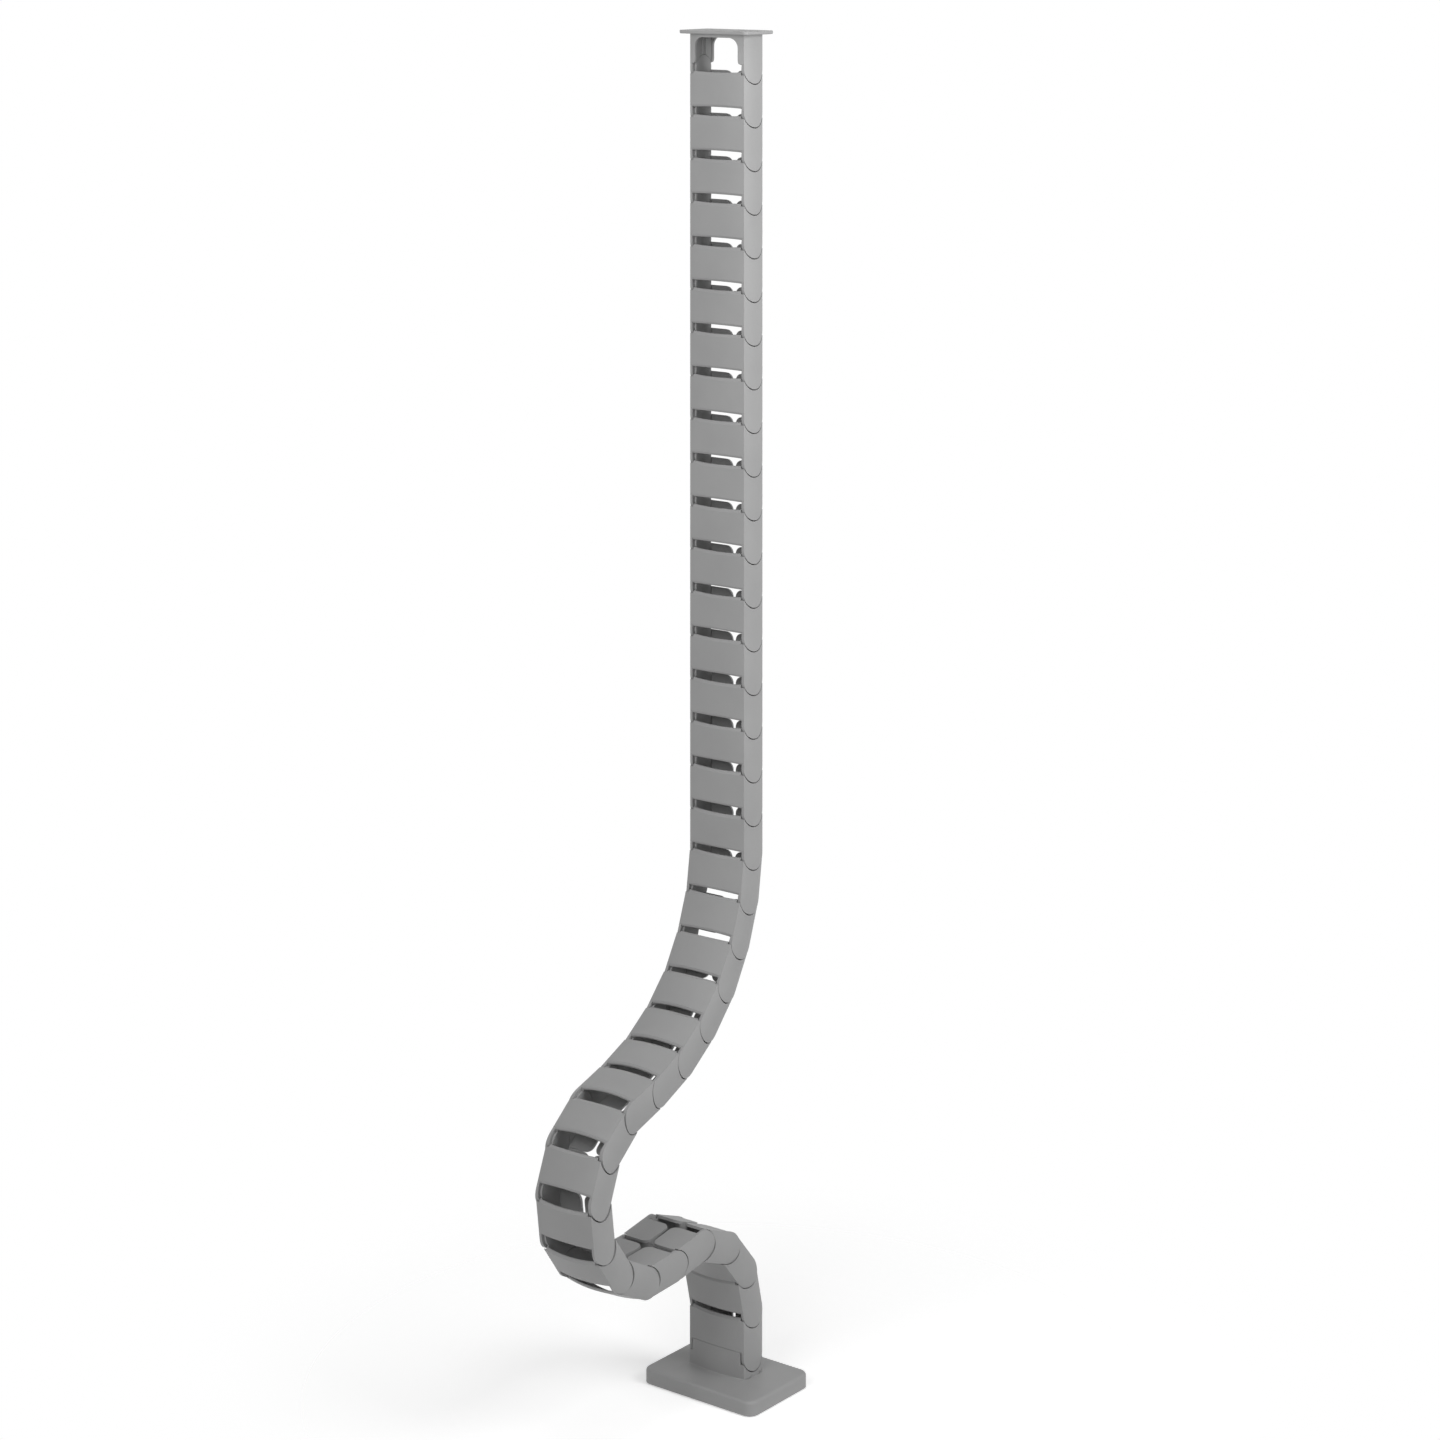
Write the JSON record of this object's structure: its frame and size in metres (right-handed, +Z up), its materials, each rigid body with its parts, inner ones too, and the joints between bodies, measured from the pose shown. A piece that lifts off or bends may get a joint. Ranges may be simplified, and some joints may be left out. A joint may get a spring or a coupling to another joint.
{
  "type": "desk cable guide",
  "caption": "Upright chain of hinged hollow plastic links that carries cables from a desk bracket down to a weighted floor foot.",
  "frame": {"origin": "centre of the bracket's top face, which is screwed under the desk", "axes": "+Z up through the desk bracket, X along the hinge pins, -Y towards the closed front panels"},
  "size_m": [0.108, 0.237, 1.0616],
  "materials": {
    "grey_plastic": "satin, finely textured moulding",
    "weight_steel": "plain cut plate",
    "screw_steel": "zinc plated",
    "pad_rubber": "matt"
  },
  "bodies": {
    "desk_bracket": {"desk_bracket": "grey_plastic"},
    "link_01": {"link_01": "grey_plastic"},
    "link_02": {"link_02": "grey_plastic"},
    "link_03": {"link_03": "grey_plastic"},
    "link_04": {"link_04": "grey_plastic"},
    "link_05": {"link_05": "grey_plastic"},
    "link_06": {"link_06": "grey_plastic"},
    "link_07": {"link_07": "grey_plastic"},
    "link_08": {"link_08": "grey_plastic"},
    "link_09": {"link_09": "grey_plastic"},
    "link_10": {"link_10": "grey_plastic"},
    "link_11": {"link_11": "grey_plastic"},
    "link_12": {"link_12": "grey_plastic"},
    "link_13": {"link_13": "grey_plastic"},
    "link_14": {"link_14": "grey_plastic"},
    "link_15": {"link_15": "grey_plastic"},
    "link_16": {"link_16": "grey_plastic"},
    "link_17": {"link_17": "grey_plastic"},
    "link_18": {"link_18": "grey_plastic"},
    "link_19": {"link_19": "grey_plastic"},
    "link_20": {"link_20": "grey_plastic"},
    "link_21": {"link_21": "grey_plastic"},
    "link_22": {"link_22": "grey_plastic"},
    "link_23": {"link_23": "grey_plastic"},
    "link_24": {"link_24": "grey_plastic"},
    "link_25": {"link_25": "grey_plastic"},
    "link_26": {"link_26": "grey_plastic"},
    "link_27": {"link_27": "grey_plastic"},
    "link_28": {"link_28": "grey_plastic"},
    "link_29": {"link_29": "grey_plastic"},
    "link_30": {"link_30": "grey_plastic"},
    "link_31": {"link_31": "grey_plastic"},
    "link_32": {"link_32": "grey_plastic"},
    "link_33": {"link_33": "grey_plastic"},
    "link_34": {"link_34": "grey_plastic"},
    "link_35": {"link_35": "grey_plastic"},
    "link_36": {"link_36": "grey_plastic"},
    "foot": {"foot_cover": "grey_plastic", "foot_base": "grey_plastic", "foot_weight": "weight_steel", "foot_screw_1": "screw_steel", "foot_screw_2": "screw_steel", "foot_screw_3": "screw_steel", "foot_screw_4": "screw_steel", "foot_pad_1": "pad_rubber", "foot_pad_2": "pad_rubber", "foot_pad_3": "pad_rubber", "foot_pad_4": "pad_rubber"}
  },
  "joints": [
    {"name": "hinge_01", "type": "hinge", "parent": "desk_bracket", "child": "link_01", "pos_m": [0, 0, -0.0296], "axis": [1, 0, 0], "range_deg": [-30, 30]},
    {"name": "hinge_02", "type": "hinge", "parent": "link_01", "child": "link_02", "pos_m": [0, 0, -0.0636], "axis": [-1, 0, 0], "range_deg": [-30, 30]},
    {"name": "hinge_03", "type": "hinge", "parent": "link_02", "child": "link_03", "pos_m": [0, 0, -0.0976], "axis": [1, 0, 0], "range_deg": [-30, 30]},
    {"name": "hinge_04", "type": "hinge", "parent": "link_03", "child": "link_04", "pos_m": [0, 0, -0.1316], "axis": [-1, 0, 0], "range_deg": [-30, 30]},
    {"name": "hinge_05", "type": "hinge", "parent": "link_04", "child": "link_05", "pos_m": [0, 0, -0.1656], "axis": [1, 0, 0], "range_deg": [-30, 30]},
    {"name": "hinge_06", "type": "hinge", "parent": "link_05", "child": "link_06", "pos_m": [0, 0, -0.1996], "axis": [-1, 0, 0], "range_deg": [-30, 30]},
    {"name": "hinge_07", "type": "hinge", "parent": "link_06", "child": "link_07", "pos_m": [0, 0, -0.2336], "axis": [1, 0, 0], "range_deg": [-30, 30]},
    {"name": "hinge_08", "type": "hinge", "parent": "link_07", "child": "link_08", "pos_m": [0, 0, -0.2676], "axis": [-1, 0, 0], "range_deg": [-30, 30]},
    {"name": "hinge_09", "type": "hinge", "parent": "link_08", "child": "link_09", "pos_m": [0, 0, -0.3016], "axis": [1, 0, 0], "range_deg": [-30, 30]},
    {"name": "hinge_10", "type": "hinge", "parent": "link_09", "child": "link_10", "pos_m": [0, 0, -0.3356], "axis": [-1, 0, 0], "range_deg": [-30, 30]},
    {"name": "hinge_11", "type": "hinge", "parent": "link_10", "child": "link_11", "pos_m": [0, 0, -0.3696], "axis": [1, 0, 0], "range_deg": [-30, 30]},
    {"name": "hinge_12", "type": "hinge", "parent": "link_11", "child": "link_12", "pos_m": [0, 0, -0.4036], "axis": [-1, 0, 0], "range_deg": [-30, 30]},
    {"name": "hinge_13", "type": "hinge", "parent": "link_12", "child": "link_13", "pos_m": [0, 0, -0.4376], "axis": [1, 0, 0], "range_deg": [-30, 30]},
    {"name": "hinge_14", "type": "hinge", "parent": "link_13", "child": "link_14", "pos_m": [0, 0, -0.4716], "axis": [-1, 0, 0], "range_deg": [-30, 30]},
    {"name": "hinge_15", "type": "hinge", "parent": "link_14", "child": "link_15", "pos_m": [0, 0, -0.5056], "axis": [1, 0, 0], "range_deg": [-30, 30]},
    {"name": "hinge_16", "type": "hinge", "parent": "link_15", "child": "link_16", "pos_m": [0, 0, -0.5396], "axis": [-1, 0, 0], "range_deg": [-30, 30]},
    {"name": "hinge_17", "type": "hinge", "parent": "link_16", "child": "link_17", "pos_m": [0, 0, -0.5736], "axis": [1, 0, 0], "range_deg": [-30, 30]},
    {"name": "hinge_18", "type": "hinge", "parent": "link_17", "child": "link_18", "pos_m": [0, 0, -0.6076], "axis": [-1, 0, 0], "range_deg": [-30, 30]},
    {"name": "hinge_19", "type": "hinge", "parent": "link_18", "child": "link_19", "pos_m": [0, 0, -0.6416], "axis": [1, 0, 0], "range_deg": [-22, 38]},
    {"name": "hinge_20", "type": "hinge", "parent": "link_19", "child": "link_20", "pos_m": [0, -0.00473, -0.67527], "axis": [-1, 0, 0], "range_deg": [-41.5, 18.5]},
    {"name": "hinge_21", "type": "hinge", "parent": "link_20", "child": "link_21", "pos_m": [0, -0.01608, -0.70732], "axis": [1, 0, 0], "range_deg": [-19.5, 40.5]},
    {"name": "hinge_22", "type": "hinge", "parent": "link_21", "child": "link_22", "pos_m": [0, -0.03308, -0.73676], "axis": [-1, 0, 0], "range_deg": [-43, 17]},
    {"name": "hinge_23", "type": "hinge", "parent": "link_22", "child": "link_23", "pos_m": [0, -0.05627, -0.76163], "axis": [1, 0, 0], "range_deg": [-19, 41]},
    {"name": "hinge_24", "type": "hinge", "parent": "link_23", "child": "link_24", "pos_m": [0, -0.08378, -0.78161], "axis": [-1, 0, 0], "range_deg": [-41.5, 18.5]},
    {"name": "hinge_25", "type": "hinge", "parent": "link_24", "child": "link_25", "pos_m": [0, -0.11471, -0.79571], "axis": [1, 0, 0], "range_deg": [-24, 36]},
    {"name": "hinge_26", "type": "hinge", "parent": "link_25", "child": "link_26", "pos_m": [0, -0.14696, -0.8065], "axis": [-1, 0, 0], "range_deg": [-9, 51]},
    {"name": "hinge_27", "type": "hinge", "parent": "link_26", "child": "link_27", "pos_m": [0, -0.17319, -0.82813], "axis": [1, 0, 0], "range_deg": [-59, 1]},
    {"name": "hinge_28", "type": "hinge", "parent": "link_27", "child": "link_28", "pos_m": [0, -0.18565, -0.85976], "axis": [-1, 0, 0], "range_deg": [-1, 59]},
    {"name": "hinge_29", "type": "hinge", "parent": "link_28", "child": "link_29", "pos_m": [0, -0.18122, -0.89347], "axis": [1, 0, 0], "range_deg": [-59, 1]},
    {"name": "hinge_30", "type": "hinge", "parent": "link_29", "child": "link_30", "pos_m": [0, -0.16099, -0.9208], "axis": [-1, 0, 0], "range_deg": [-2, 58]},
    {"name": "hinge_31", "type": "hinge", "parent": "link_30", "child": "link_31", "pos_m": [0, -0.1303, -0.93544], "axis": [1, 0, 0], "range_deg": [-59, 1]},
    {"name": "hinge_32", "type": "hinge", "parent": "link_31", "child": "link_32", "pos_m": [0, -0.09637, -0.93337], "axis": [-1, 0, 0], "range_deg": [-24, 36]},
    {"name": "hinge_33", "type": "hinge", "parent": "link_32", "child": "link_33", "pos_m": [0, -0.06283, -0.92775], "axis": [1, 0, 0], "range_deg": [-1, 59]},
    {"name": "hinge_34", "type": "hinge", "parent": "link_33", "child": "link_34", "pos_m": [0, -0.03078, -0.9391], "axis": [-1, 0, 0], "range_deg": [-59, 1]},
    {"name": "hinge_35", "type": "hinge", "parent": "link_34", "child": "link_35", "pos_m": [0, -0.00825, -0.96457], "axis": [1, 0, 0], "range_deg": [-2, 58]},
    {"name": "hinge_36", "type": "hinge", "parent": "link_35", "child": "link_36", "pos_m": [0, -0.00032, -0.99763], "axis": [-1, 0, 0], "range_deg": [-43.5, 16.5]},
    {"name": "hinge_37", "type": "hinge", "parent": "link_36", "child": "foot", "pos_m": [0, -0.00032, -1.03163], "axis": [1, 0, 0], "range_deg": [0, 30]}
  ]
}
